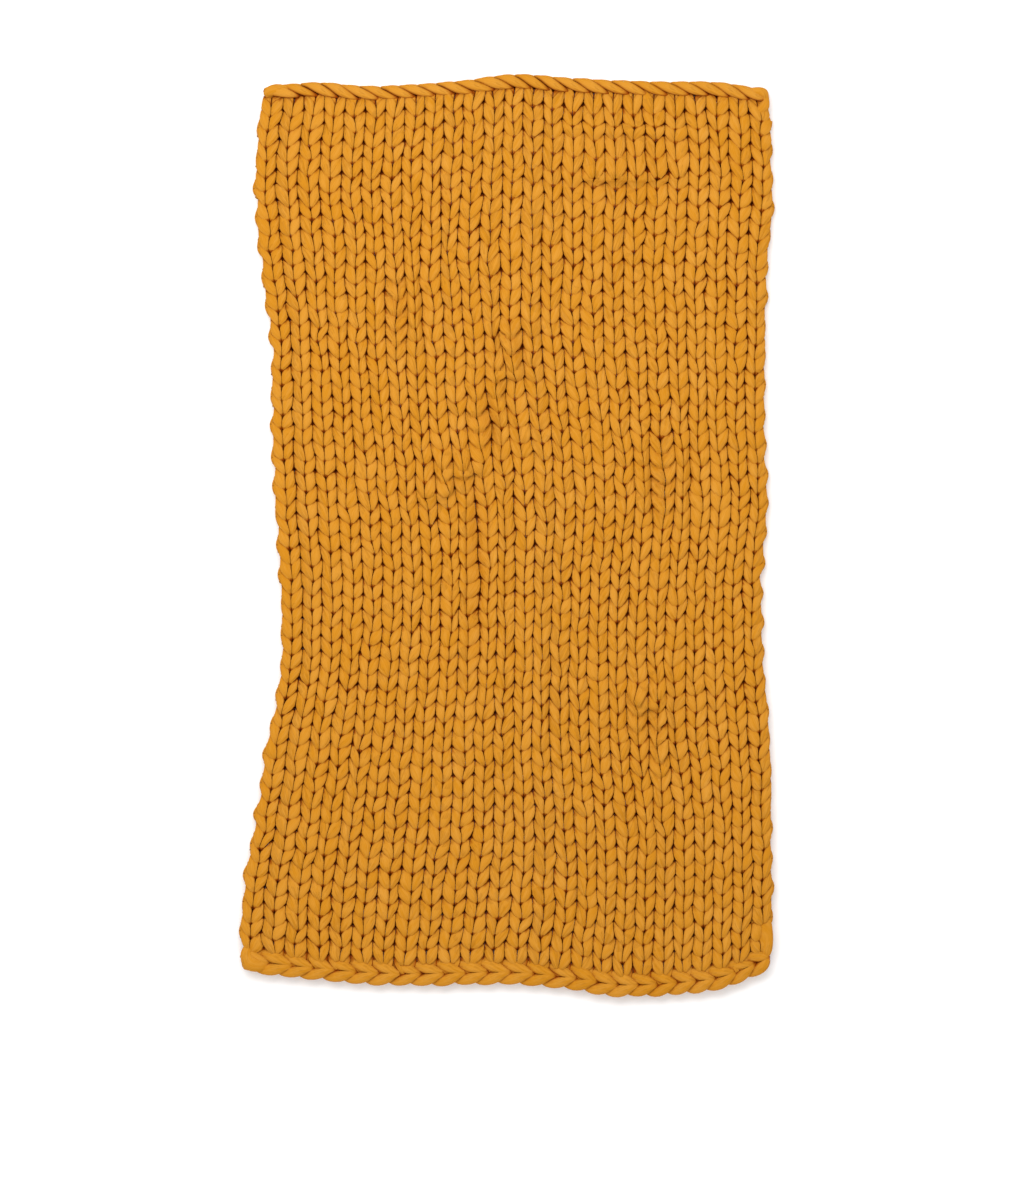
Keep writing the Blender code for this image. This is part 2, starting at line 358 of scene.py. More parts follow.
def strand_mesh(name, rings, tone, painted_shade):
    """One mesh of many strands: quads between neighbouring rings, a flat cap at each end, and a UV map in
    metres, along the strand by its length and round it by its girth. Its points keep the yarn's tone and its
    share of painted shade."""
    strands, steps, sides = rings.shape[:3]
    number = np.arange(strands * steps * sides).reshape(strands, steps, sides)
    after = np.roll(number, -1, axis=2)
    quads = np.stack([number[:, :-1], number[:, 1:], after[:, 1:], after[:, :-1]], axis=-1).reshape(-1, 4)
    caps = np.concatenate([number[:, 0], number[:, -1, ::-1]])
    corners = np.concatenate([quads.ravel(), caps.ravel()])
    totals = np.concatenate([np.full(len(quads), 4), np.full(len(caps), sides)])
    mesh = bpy.data.meshes.new(name)
    mesh.vertices.add(number.size)
    mesh.vertices.foreach_set("co", rings.astype(np.float32).ravel())
    mesh.loops.add(len(corners))
    mesh.loops.foreach_set("vertex_index", corners.astype(np.int32))
    mesh.polygons.add(len(totals))
    mesh.polygons.foreach_set("loop_start", (np.cumsum(totals) - totals).astype(np.int32))
    mesh.polygons.foreach_set("loop_total", totals.astype(np.int32))
    middle = rings.mean(axis=2)
    lengths = np.linalg.norm(np.diff(middle, axis=1), axis=2)
    along = np.concatenate([np.zeros((strands, 1)), np.cumsum(lengths, axis=1)], axis=1)
    girth = np.linalg.norm(np.roll(rings, -1, axis=2) - rings, axis=3).sum(axis=2).mean()
    turn = np.arange(sides + 1) / sides * girth
    along = np.broadcast_to(along[..., None], (strands, steps, sides))
    low, high = np.broadcast_to(turn[:-1], along.shape), np.broadcast_to(turn[1:], along.shape)
    sheet = np.stack(
        [
            np.stack([along[:, :-1], low[:, :-1]], -1),
            np.stack([along[:, 1:], low[:, 1:]], -1),
            np.stack([along[:, 1:], high[:, 1:]], -1),
            np.stack([along[:, :-1], high[:, :-1]], -1),
        ],
        axis=3,
    )
    flat = np.concatenate([sheet.reshape(-1, 2), np.zeros((caps.size, 2))])
    mesh.uv_layers.new(name="strand").data.foreach_set("uv", flat.astype(np.float32).ravel())
    for label, value in (("tone", tone[..., None]), ("painted_shade", painted_shade)):
        kept = mesh.attributes.new(label, "FLOAT", "POINT")
        kept.data.foreach_set("value", np.broadcast_to(value, number.shape).astype(np.float32).ravel())
    mesh.polygons.foreach_set("use_smooth", np.ones(len(totals), bool))
    mesh.update(calc_edges=True)
    mesh.validate()
    piece = bpy.data.objects.new(name, mesh)
    bpy.context.scene.collection.objects.link(piece)
    return piece


def group_socket(tree, name, kind, way="INPUT", value=None):
    """One named socket of a node group, with the value that an input starts at."""
    socket = tree.interface.new_socket(name=name, in_out=way, socket_type=kind)
    if value is not None:
        socket.default_value = value


def feed(tree, socket, value):
    """Links a node's output to a socket, or sets the socket to a plain value."""
    if isinstance(value, bpy.types.NodeSocket):
        tree.links.new(value, socket)
    else:
        socket.default_value = value


def maths(tree, operation, *values):
    """A Math node that takes outputs or numbers, and its result."""
    node = tree.nodes.new("ShaderNodeMath")
    node.operation = operation
    for socket, value in zip(node.inputs, values):
        feed(tree, socket, value)
    return node.outputs[0]


def mix_colour(tree, share, low, high):
    """A colour between two others, by a share."""
    node = tree.nodes.new("ShaderNodeMix")
    node.data_type = "RGBA"
    for socket, value in zip((node.inputs[0], node.inputs[6], node.inputs[7]), (share, low, high)):
        feed(tree, socket, value)
    return node.outputs[2]


def noise(tree, vector, scale, detail=2.0, roughness=0.5):
    """A noise texture's value, spread about one half."""
    node = tree.nodes.new("ShaderNodeTexNoise")
    node.inputs["Scale"].default_value = scale
    node.inputs["Detail"].default_value = detail
    node.inputs["Roughness"].default_value = roughness
    tree.links.new(vector, node.inputs["Vector"])
    return node.outputs["Fac"]


def stretched(tree, vector, scales, heading):
    """A strand vector with a scale along the strand and another round it, turned a little, for drawn-out
    noise."""
    node = tree.nodes.new("ShaderNodeMapping")
    node.inputs["Scale"].default_value = (*scales, 1.0)
    node.inputs["Rotation"].default_value = (0.0, 0.0, heading)
    tree.links.new(vector, node.inputs["Vector"])
    return node.outputs[0]


def jersey_group():
    """The jersey's fine lines along the strand, its wandering streaks, its few wrinkles and its fuzz, as one
    height, with a mask of each. The lines are a sine round the strand, half of it and a half more; a wrinkle
    is where a stretched noise crosses its middle, in patches."""
    tree = bpy.data.node_groups.new("stuffed_jersey", "ShaderNodeTree")
    group_socket(tree, "Strand", "NodeSocketVector")
    group_socket(tree, "Line Spacing", "NodeSocketFloat", value=LINE_SPACING)
    for name in ("Height", "Crease", "Line", "Streak"):
        group_socket(tree, name, "NodeSocketFloat", "OUTPUT")
    inside, outside = tree.nodes.new("NodeGroupInput"), tree.nodes.new("NodeGroupOutput")
    strand = inside.outputs["Strand"]
    split = tree.nodes.new("ShaderNodeSeparateXYZ")
    tree.links.new(strand, split.inputs[0])
    wander = maths(tree, "MULTIPLY", noise(tree, strand, WANDER_SCALE), WANDER)
    turns = maths(tree, "DIVIDE", split.outputs["Y"], inside.outputs["Line Spacing"])
    line = maths(tree, "SINE", maths(tree, "MULTIPLY_ADD", turns, 2 * math.pi, wander))
    line = maths(tree, "MULTIPLY_ADD", line, 0.5, 0.5)
    drawn_out = stretched(tree, strand, STREAK_SCALES, STREAK_HEADING)
    streak = noise(tree, drawn_out, 1.0, roughness=STREAK_ROUGHNESS)
    streak = maths(tree, "MULTIPLY", maths(tree, "SUBTRACT", streak, 0.5), STREAK_GAIN)
    wrinkle = noise(tree, stretched(tree, strand, WRINKLE_SCALES, WRINKLE_HEADING), 1.0)
    from_middle = maths(tree, "ABSOLUTE", maths(tree, "SUBTRACT", wrinkle, 0.5))
    from_middle = maths(tree, "MINIMUM", maths(tree, "MULTIPLY", from_middle, WRINKLE_SHARPNESS), 1.0)
    patch = maths(tree, "GREATER_THAN", noise(tree, strand, PATCH_SCALE, PATCH_DETAIL), PATCH_FROM)
    crease = maths(tree, "MULTIPLY", maths(tree, "SUBTRACT", 1.0, from_middle), patch)
    height = maths(tree, "MULTIPLY", noise(tree, strand, FUZZ_SCALE), FUZZ_HEIGHT)
    height = maths(tree, "MULTIPLY_ADD", line, LINE_HEIGHT, height)
    height = maths(tree, "MULTIPLY_ADD", streak, STREAK_HEIGHT, height)
    height = maths(tree, "MULTIPLY_ADD", crease, WRINKLE_HEIGHT, height)
    for name, value in (("Height", height), ("Crease", crease), ("Line", line), ("Streak", streak)):
        tree.links.new(value, outside.inputs[name])
    return tree


def yarn_finish(name, jersey):
    """Matt ochre jersey. Its colour drifts slowly along the strand and varies with the streaks. Shade is
    painted
    into it: it turns to the painted shade colour where the strand starts to lie inside the knitting, and to
    the darker painted shade colour further in, in the creases and between the lines."""
    material = bpy.data.materials.new(name)
    material.use_nodes = True
    tree = material.node_tree
    shader = tree.nodes["Principled BSDF"]
    strand = tree.nodes.new("ShaderNodeUVMap")
    strand.uv_map = "strand"
    pattern = tree.nodes.new("ShaderNodeGroup")
    pattern.node_tree = jersey
    tree.links.new(strand.outputs["UV"], pattern.inputs["Strand"])
    crease, line, streak = (pattern.outputs[label] for label in ("Crease", "Line", "Streak"))
    tone, painted_shade = tree.nodes.new("ShaderNodeAttribute"), tree.nodes.new("ShaderNodeAttribute")
    tone.attribute_name, painted_shade.attribute_name = "tone", "painted_shade"
    drift = maths(tree, "SUBTRACT", noise(tree, strand.outputs["UV"], DRIFT_SCALE), 0.5)
    share = maths(tree, "MULTIPLY_ADD", drift, DRIFT_SHARE, tone.outputs["Fac"])
    share = maths(tree, "MULTIPLY_ADD", streak, STREAK_SHARE, share)
    colour = mix_colour(tree, share, YARN_COLOUR, YARN_PALE)
    # Painted shade: the colour turns to the shade colour where a point lies inside the knitting.
    edge = maths(tree, "MINIMUM", maths(tree, "MULTIPLY", painted_shade.outputs["Fac"], SHADE_GAIN), 1.0)
    colour = mix_colour(tree, maths(tree, "MULTIPLY", edge, SHADE_SHARE), colour, YARN_SHADE)
    # Painted shade: darker still further inside the knitting.
    deep_shade = maths(tree, "POWER", painted_shade.outputs["Fac"], DEEP_SHADE_POWER)
    # Painted shade in the wrinkles' creases, added to it.
    shadow = maths(tree, "MULTIPLY_ADD", crease, CREASE_SHADE_SHARE, maths(tree, "MULTIPLY", deep_shade, DEEP_SHADE_SHARE))
    # Painted shade between the jersey's fine lines, added too.
    shadow = maths(tree, "MULTIPLY_ADD", maths(tree, "SUBTRACT", 1.0, line), BETWEEN_LINES_SHADE_SHARE, shadow)
    colour = mix_colour(tree, maths(tree, "MINIMUM", shadow, 1.0), colour, YARN_DEEP_SHADE)
    tree.links.new(colour, shader.inputs["Base Color"])
    rough = maths(tree, "MULTIPLY_ADD", line, LINE_SMOOTHNESS, ROUGHNESS)
    tree.links.new(rough, shader.inputs["Roughness"])
    bump = tree.nodes.new("ShaderNodeBump")
    bump.inputs["Strength"].default_value = BUMP_STRENGTH
    bump.inputs["Distance"].default_value = BUMP_DEPTH
    tree.links.new(pattern.outputs["Height"], bump.inputs["Height"])
    tree.links.new(bump.outputs["Normal"], shader.inputs["Normal"])
    shader.inputs["Specular IOR Level"].default_value = SPECULAR
    shader.inputs["Sheen Weight"].default_value = SHEEN
    shader.inputs["Sheen Roughness"].default_value = SHEEN_ROUGHNESS
    shader.inputs["Sheen Tint"].default_value = SHEEN_TINT
    return material


yarn = yarn_finish("ochre_jersey_yarn", jersey_group())


def finish_piece(piece):
    """Gives a knitted piece its yarn and its place in the part: it rides on the one body and stands for the
    cloth's solid, which it hides."""
    piece.data.materials.append(yarn)
    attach(piece, "root")
    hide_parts("knit_blanket")


# ---- The knitted field -----------------------------------------------------------------------------
# Plain stockinette, worked row by row from the chain end up and turned at each side. Every stitch is one loop
# drawn through the loop below: its two legs show as a V, its head and feet pass behind. The rows are made in
# five bands.
BANDS = 5
LOOP_STEPS = 24
LOOP_HEIGHT = 29.5 * MM
LOOP_SLANT = 11.7 * MM
SLANT_STRAIGHTNESS = 0.09
LOOP_DEPTH = 9 * MM
LOOP_LEAN = 4.4 * MM

# The least height of the yarn over the floor, and its usual share of the pale colour.
REST_GAP = 0.4 * MM
YARN_TONE = 0.32

# A leg's section: its sizes, its share of them at the back, and how far it narrows at its upper tip and its
# lower one. The tips beside one rib line are narrower in every second row, which leaves larger holes there.
LEG_SQUARENESS = 4
LEG_HALF_WIDTH = 10.5 * MM
LEG_HALF_DEPTH = 8.2 * MM
BACK_SHARE = 0.95
TIP_PINCH = 0.45
BASE_PINCH = 0.4
DEPTH_PINCH = 0.1
LOOSE_PINCH = 0.35
LOOSE_LINE = 1
PRESS_GAP = 0.45 * MM
PRESS_FROM, PRESS_FULL = 0.35, 0.65

# The strand's turns at the two sides.
TURN_STEPS = 5
TURN_INSET = 6 * MM
TURN_BULGE = 1.8 * MM
TURN_SHARE = 0.85
TURN_FOOT_SHARE = 0.75
TURN_HEIGHT = 4 * MM
LOOSE_TURN_SHARE = 0.3
# How far in from each side the painted shade fades in.
SIDE_UNSHADED_REACH = 12 * MM

# The first and last rows, which lie lower and are drawn in behind the chain and the roll.
FIRST_ROW, LAST_ROW = -1, ROWS
END_ROW_SINK = 5 * MM
FIRST_ROW_SHIFT = 13 * MM
LAST_ROW_SHIFT = -17 * MM
LAST_ROW_SQUASH = 0.6
END_ROW_INSET = 14 * MM

# How stitches differ: the tension of rows worked from the front and from the back, its share at the cloth's
# middle, the usual difference in each size, and the limit in such differences. They fade at a loop's feet.
ROW_TENSION = 0.7 * MM
MIDDLE_TENSION = 0.5
SLANT_SPREAD = 1.0 * MM
ROW_HEIGHT_SPREAD = 0.4 * MM
HEIGHT_SPREAD = 0.8 * MM
ASIDE_SPREAD = 0.3 * MM
ALONG_SPREAD = 0.9 * MM
OUT_SPREAD = 0.8 * MM
PLUMP_SPREAD = 0.05
TONE_SPREAD = 0.1
SPREAD_LIMIT = 2.2
FOOT_HOLD_POWER = 6
UNEVEN_SEED = 20
uneven_values = np.random.default_rng(UNEVEN_SEED)

# Stitches that stand up at their lower ends, in ribs that a fold has pulled wide: the rib, its rows, and the
# lift in millimetres.
PERK_GAIN = 3.0
PERKED_COLUMNS = ("rib", "lowest_row", "highest_row", "lift")
PERKED = (
    (6, 41, 45, 7),
    (10, 34, 37, 7),
    (11, 37, 39, 6),
    (12, 39, 41, 7),
    (9, 32, 33, 7),
    (8, 31, 33, 6),
    (19, 30, 34, 7),
    (18, 16, 18, 7),
    (19, 13, 16, 6),
)


def uneven(shape, spread):
    """Hand-made differences: bell-shaped random values of a given spread, with none past a limit."""
    return spread * np.clip(uneven_values.standard_normal(shape), -SPREAD_LIMIT, SPREAD_LIMIT)


def uneven_legs(turn, shape, spread):
    """Differences of a loop's two legs: one random value at the left leg and another at the right, and
    between them by the sine of the loop's turn."""
    left, right = uneven(shape, spread), uneven(shape, spread)
    share = (1 + np.sin(turn)) / 2
    return left[..., None] * (1 - share) + right[..., None] * share


def perked_lift(row, rib):
    """How far each stitch's lower end stands up: the sum of the table's rows it belongs to, and nothing
    elsewhere."""
    lift = np.zeros(np.broadcast(row, rib).shape)
    for values in PERKED:
        perked = dict(zip(PERKED_COLUMNS, values))
        inside = (rib == perked["rib"]) & (row >= perked["lowest_row"]) & (row <= perked["highest_row"])
        lift += MM * perked["lift"] * inside
    return lift


def blunt(wave):
    """A wave from -1 to 1 with flatter tops: one and a half of it less half of its cube."""
    return wave * (1.5 - 0.5 * wave**2)


def end_shift(row):
    """How far the first and last rows are drawn in along the cloth, behind the chain and the roll."""
    return FIRST_ROW_SHIFT * (row == FIRST_ROW) + LAST_ROW_SHIFT * (row == LAST_ROW)


def stitch_rows(first, count):
    """Paths and sizes of whole rows of loops. Round each loop the turn runs from -180 to 180 degrees: across,
    the strand advances evenly and swings back twice, by a sine straightened with its third harmonic; along,
    it follows a cosine; outward, a blunted double cosine brings both legs forward and takes head and feet
    back. The rows worked from the back are a little tighter, and each stitch has small differences of its
    own, held at its feet."""
    turn = np.linspace(-math.pi, math.pi, LOOP_STEPS, endpoint=False)[None, None, :]
    shape = (count, RIBS)
    hold = 1 - (turn / math.pi) ** FOOT_HOLD_POWER
    rib = np.arange(RIBS)[None, :, None]
    row = (first + np.arange(count))[:, None, None]
    last_row = row == LAST_ROW
    near_side = np.abs(rib / (RIBS - 1) - 0.5) * 2
    tension = ROW_TENSION * (MIDDLE_TENSION + (1 - MIDDLE_TENSION) * near_side**2)
    tension = tension * np.where(row % 2 == 0, 1, -1)
    slant = LOOP_SLANT + tension + uneven_legs(turn, shape, SLANT_SPREAD) * hold
    row_height = uneven((count, 1, 1), ROW_HEIGHT_SPREAD)
    height = LOOP_HEIGHT + (tension + row_height + uneven((count, RIBS, 1), HEIGHT_SPREAD)) * hold
    height = height * (1 - (1 - LAST_ROW_SQUASH) * last_row)
    swing = slant * (np.sin(2 * turn) - SLANT_STRAIGHTNESS * np.sin(6 * turn))
    aside = (rib + 0.5 + turn / (2 * math.pi)) * RIB_PITCH + swing
    aside = aside + uneven((count, RIBS, 1), ASIDE_SPREAD) * hold
    along = (row + 0.5) * ROW_PITCH + height * np.cos(turn)
    along = along + uneven((count, RIBS, 1), ALONG_SPREAD) * hold + end_shift(row)
    out = -LOOP_DEPTH * blunt(blunt(np.cos(2 * turn))) - LOOP_LEAN * np.cos(turn)
    out = out + uneven_legs(turn, shape, OUT_SPREAD) * hold
    out = out + PERK_GAIN * perked_lift(row, rib) * np.clip(-np.cos(turn), 0, 1) * np.sin(turn) ** 2
    out = out - END_ROW_SINK * ((row == FIRST_ROW) | last_row)
    leg = np.sin(turn) ** 2
    head = (1 + np.cos(turn)) / 2
    beside_line = ((rib == LOOSE_LINE - 1) & (turn > 0)) | ((rib == LOOSE_LINE) & (turn < 0))
    tip_pinch = TIP_PINCH + LOOSE_PINCH * beside_line * (row % 2)
    pinch = 1 - (tip_pinch * head + BASE_PINCH * (1 - head)) * np.sin(2 * turn) ** 2
    plump = 1 + uneven_legs(turn, shape, PLUMP_SPREAD) * hold
    size = (BACK_SHARE + (1 - BACK_SHARE) * leg) * plump
    width = LEG_HALF_WIDTH * size * pinch
    depth = LEG_HALF_DEPTH * size * (1 - DEPTH_PINCH * (1 - pinch))
    tone = YARN_TONE + uneven_legs(turn, shape, TONE_SPREAD) * hold
    path = np.stack(np.broadcast_arrays(aside, along, out), axis=-1).reshape(count, -1, 3)
    return path, *(value.reshape(count, -1) for value in np.broadcast_arrays(width, depth, tone))


def pressed(rings):
    """Legs pressed flat on their neighbours: where the strand runs as a leg, by the size of its turn's sine,
    its points are held inside their own half of the rib, so that both long sides are upright and straight."""
    turn = np.tile(np.linspace(-math.pi, math.pi, LOOP_STEPS, endpoint=False), RIBS)[None, :, None]
    middle = (np.repeat(np.arange(RIBS), LOOP_STEPS) + 0.5)[None, :, None] * RIB_PITCH
    side = np.where(turn < 0, -1, 1)
    reach = (rings[..., 0] - middle) * side
    held = np.clip(reach, PRESS_GAP, RIB_PITCH / 2 - PRESS_GAP)
    share = np.clip((np.abs(np.sin(turn)) - PRESS_FROM) / (PRESS_FULL - PRESS_FROM), 0, 1)
    rings[..., 0] = middle + side * (reach + (held - reach) * eased(share))
    return rings


def side_turns(first, count, right):
    """The strand's way from a row's last foot halfway to the next row, up or down by turns: a quarter of an
    oval that starts behind the outermost leg and swings out past it."""
    up = 1 if right else -1
    row = (first + np.arange(count))[:, None]
    way = np.where(row % 2 == 0, up, -up)
    way = np.where(row == FIRST_ROW, 1, np.where(row == LAST_ROW, -1, way))
    quarter = np.linspace(0, math.pi / 2, TURN_STEPS + 1)[None, :]
    foot = (row + 0.5) * ROW_PITCH - LOOP_HEIGHT + end_shift(row)
    joined = (row > FIRST_ROW) & (right | ((row > 0) & (row < LAST_ROW)))
    bulge = TURN_BULGE * joined * np.sin(quarter) - TURN_INSET
    aside = RIBS * RIB_PITCH + bulge if right else -bulge
    along = foot + way * ROW_PITCH / 2 * (1 - np.cos(quarter)) * np.where(joined, 1, LOOSE_TURN_SHARE)
    out = -LOOP_DEPTH + LOOP_LEAN + (LOOP_DEPTH - LOOP_LEAN + TURN_HEIGHT) * np.sin(quarter)
    return np.stack(np.broadcast_arrays(aside, along, out), axis=-1)


def knit_band(name, first, count):
    """A band of rows as one mesh: each row is one strand, with half of each side turn at its ends, which
    taper to their feet by a sine."""
    path, width, depth, tone = stitch_rows(first, count)
    start = side_turns(first, count, right=False)[:, ::-1]
    end = side_turns(first, count, right=True)
    path[:, 0, 0] = TURN_INSET
    path = np.concatenate([start[:, :-1], path, end], axis=1)
    rows = first + np.arange(count)
    ends = (rows == FIRST_ROW) | (rows == LAST_ROW)
    path[ends, :, 0] = np.clip(path[ends, :, 0], END_ROW_INSET, RIBS * RIB_PITCH - END_ROW_INSET)
    before, after = TURN_STEPS, TURN_STEPS + 1
    width, depth, tone = (
        np.pad(value, ((0, 0), (before, after)), mode="edge") for value in (width, depth, tone)
    )
    rise = np.sin(np.linspace(0, 1, after) * math.pi / 2)
    taper = TURN_SHARE * (TURN_FOOT_SHARE + (1 - TURN_FOOT_SHARE) * rise)
    for value in (width, depth):
        value[:, :before] *= taper[:0:-1]
        value[:, -after:] *= taper
    flat = tube(path, width, depth, LEG_SQUARENESS)
    flat[:, before:-after] = pressed(flat[:, before:-after])
    rings = lay(flat)
    rings[..., 2] = np.maximum(rings[..., 2], REST_GAP)
    # Painted shade: points inside the knitting get shade painted into their colour, faded out near the two
    # sides.
    from_side = np.minimum(flat[..., 0], RIBS * RIB_PITCH - flat[..., 0])
    painted_shade = painted_shade_by_depth(flat[..., 2]) * np.clip(from_side / SIDE_UNSHADED_REACH, 0, 1)
    return strand_mesh(name, rings, tone, painted_shade)


band_edges = np.linspace(FIRST_ROW, LAST_ROW + 1, BANDS + 1).round().astype(int)
for band, (lowest, highest) in enumerate(zip(band_edges[:-1], band_edges[1:])):
    finish_piece(knit_band(f"knit_rows_{band + 1}", int(lowest), int(highest - lowest)))


# ---- The chain end ---------------------------------------------------------------------------------
# The blanket was cast on with a chain, which lies flat along its lower end: one loop to a rib, each drawn
# through the next, with its two legs meeting at its right end. The first loop's head is bare and closes the
# left corner.
LINK_STEPS = 36
LINK_TURN = 0.93 * math.pi
CHAIN_REACH = 35 * MM
CHAIN_SPREAD = 10.8 * MM
CHAIN_SLANT = 7.5 * MM
CHAIN_DEPTH = 6 * MM
CHAIN_LEAN = 5 * MM
CHAIN_HEIGHT = 19.5 * MM
CHAIN_SQUARENESS = 2.8
CHAIN_HALF_WIDTH = 12 * MM
CHAIN_HALF_DEPTH = 9.5 * MM
CHAIN_BACK_SHARE = 0.85
CHAIN_PINCH = 0.25

# How much the loops differ, as in the field.
CHAIN_REACH_SPREAD = 1.2 * MM
CHAIN_LEG_SPREAD = 0.7 * MM
CHAIN_SLANT_SPREAD = 0.8 * MM
CHAIN_OUT_SPREAD = 0.6 * MM
CHAIN_PLUMP_SPREAD = 0.05

# Where the legs are pressed on each other, in shares of their spread, and where shade is painted into the
# yarn's colour.
CHAIN_PRESS_FROM = 0.1
CHAIN_PRESS_EASE = 0.3
CHAIN_SHADE_REACH = 16 * MM
CHAIN_SHADE_EASE = 8 * MM
CHAIN_SHADE_SHARE = 0.42

# The bare head of the first loop: how far it rises, and its reach, its added plumpness and its spread as
# shares of the others'. Then the reach of the last loop's feet, as a share too.
BARE_HEAD_RISE = 8 * MM
BARE_HEAD_REACH = 0.1
BARE_HEAD_PLUMP = -0.1
BARE_HEAD_SPREAD = 0.5
LAST_FOOT_REACH = 0.35

# The two ends of the strand at the chain's corners: how far past the side, over the chain and out of it their
# middle lies, and their half width, in millimetres. One rises along the right side, the other curls round
# the left corner.
TAIL_COLUMNS = ("past", "over", "out", "half_width")
RISER = (
    (-26, 2, -8, 5),
    (-12, 2, 2, 7.5),
    (-3, 14, 7, 7.5),
    (0, 34, 8, 7),
    (-1, 56, 7, 7),
    (-4, 76, 2, 6),
    (-10, 88, -8, 4),
)
CHAIN_KNOB = (
    (-18, 38, -6, 5),
    (-10, 26, 2, 8),
    (-10, 9, 6, 12),
    (-17, -4, 8, 15),
    (-32, -8, 7, 13),
    (-54, -4, -1, 6),
)

# The step in ribs that an end's heading is taken over.
HEADING_STEP = 0.05


def chain_links(count):
    """Every loop's path and sizes, along the chain, over it and out of it. Along, the strand follows a cosine
    from the feet at the right round the head at the left; over the chain it follows a sine, widened towards
    the head by a double sine; outward a blunted double cosine brings the legs forward."""
    turn = np.linspace(-LINK_TURN, LINK_TURN, LINK_STEPS)[None, :]
    link = np.arange(count)[:, None]
    head = (1 + np.cos(turn)) / 2
    leg = np.sin(turn) ** 2
    bare, last = (link == 0) * 1.0, (link == count - 1) * 1.0
    reach = CHAIN_REACH + uneven((count, 1), CHAIN_REACH_SPREAD)
    spread = CHAIN_SPREAD + uneven_legs(turn[0], (count,), CHAIN_LEG_SPREAD)
    shortened = bare * (1 - BARE_HEAD_REACH) * head**2 + last * (1 - LAST_FOOT_REACH) * (1 - head) ** 2
    along = (link + 0.5) * RIB_PITCH - reach * np.cos(turn) * (1 - shortened)
    slant = CHAIN_SLANT + uneven((count, 1), CHAIN_SLANT_SPREAD)
    over = spread * np.sin(turn) + slant * np.sin(2 * turn)
    over = over * (1 - (1 - BARE_HEAD_SPREAD) * bare * head)
    out = -CHAIN_DEPTH * blunt(blunt(np.cos(2 * turn))) - CHAIN_LEAN * np.cos(turn)
    out = out + bare * BARE_HEAD_RISE * head**3 + uneven((count, 1), CHAIN_OUT_SPREAD)
    pinch = 1 - CHAIN_PINCH * np.sin(2 * turn) ** 2 * (1 - bare * head)
    plump = 1 + uneven((count, 1), CHAIN_PLUMP_SPREAD) + BARE_HEAD_PLUMP * bare * head**2
    size = (CHAIN_BACK_SHARE + (1 - CHAIN_BACK_SHARE) * leg) * plump
    width = CHAIN_HALF_WIDTH * size * pinch
    depth = CHAIN_HALF_DEPTH * size * (1 + pinch) / 2
    return np.stack(np.broadcast_arrays(along, over, out), axis=-1), width, depth


def tail(rows, right, squareness):
    """An end of the strand at one corner: rings round a smooth curve through the rows of its table."""
    places = np.arange(len(rows), dtype=float)
    at = np.linspace(0, len(rows) - 1, LINK_STEPS)
    curves = (smooth(at, places, column(TAIL_COLUMNS, rows, name)) for name in TAIL_COLUMNS)
    past, over, out, half_width = (MM * curve for curve in curves)
    along = RIBS * RIB_PITCH + past if right else -past
    path = np.stack([along, over, out], axis=-1)[None]
    return tube(path, half_width[None], half_width[None], squareness)


def along_end(rings, inner, outer, height):
    """Rings given along, over and out of an end piece, put on the line halfway between two end lines: along
    it by rib places, over it square to its heading, and out of it upward."""
    rib = rings[..., 0] / RIB_PITCH
    ends = []
    for at in (rib, rib + HEADING_STEP):
        inside = np.clip(at, 0, RIBS)
        y = (end_line(inner, inside) + end_line(outer, inside)) / 2
        ends.append(np.stack([across(inside, y)[0] + (at - inside) * RIB_PITCH, y], axis=-1))
    heading = unit(ends[1] - ends[0])
    x = ends[0][..., 0] - heading[..., 1] * rings[..., 1]
    y = ends[0][..., 1] + heading[..., 0] * rings[..., 1]
    return np.stack([x, y, np.maximum(height + rings[..., 2], REST_GAP)], axis=-1)


def chain_end(name):
    """The whole chain as one mesh, with its legs pressed flat where they meet along its middle, and the
    strand's end at each corner."""
    path, width, depth = chain_links(RIBS)
    rings = tube(path, width, depth, CHAIN_SQUARENESS)
    side = np.where(np.linspace(-1, 1, LINK_STEPS) < 0, -1, 1)[None, :, None]
    apart = np.abs(path[..., 1:2]) / CHAIN_SPREAD
    leg = np.clip((apart - CHAIN_PRESS_FROM) / CHAIN_PRESS_EASE, 0, 1)
    over = rings[..., 1] * side
    rings[..., 1] = side * (over + (np.maximum(over, PRESS_GAP) - over) * leg)
    # Painted shade along the chain's middle, where its legs meet, and none on the bare head.
    inside = np.clip((CHAIN_SHADE_REACH - np.abs(rings[..., 1])) / CHAIN_SHADE_EASE, 0, 1)
    painted_shade = CHAIN_SHADE_SHARE * inside * painted_shade_by_depth(rings[..., 2])
    painted_shade[0] = 0
    tails = [tail(RISER, True, CHAIN_SQUARENESS), tail(CHAIN_KNOB, False, CHAIN_SQUARENESS)]
    rings = np.concatenate([rings, *tails])
    painted_shade = np.concatenate([painted_shade, np.zeros_like(painted_shade[: len(tails)])])
    tone = np.broadcast_to(YARN_TONE + uneven((len(rings), 1), TONE_SPREAD), rings.shape[:2])
    return strand_mesh(name, along_end(rings, "knit_bottom", "chain_edge", CHAIN_HEIGHT), tone, painted_shade)


finish_piece(chain_end("chain_end"))


# ---- The rolled end --------------------------------------------------------------------------------
# The upper end was cast off with a chain too, which has rolled forward onto the cloth. One leg of each loop
# shows, slanting over the roll like a strand of rope, and the other leg peeps out behind it.
ROLL_MARGIN = 13 * MM
ROLL_REACH = 34 * MM
ROLL_SLANT = 15 * MM
ROLL_RISE = 9 * MM
ROLL_SINK = 6 * MM
ROLL_PEEP = 6 * MM
ROLL_HEIGHT = 20 * MM
ROLL_SQUARENESS = 2.2
ROLL_HALF_WIDTH = 9.3 * MM
ROLL_HALF_DEPTH = 9.5 * MM
ROLL_PINCH = 0.25

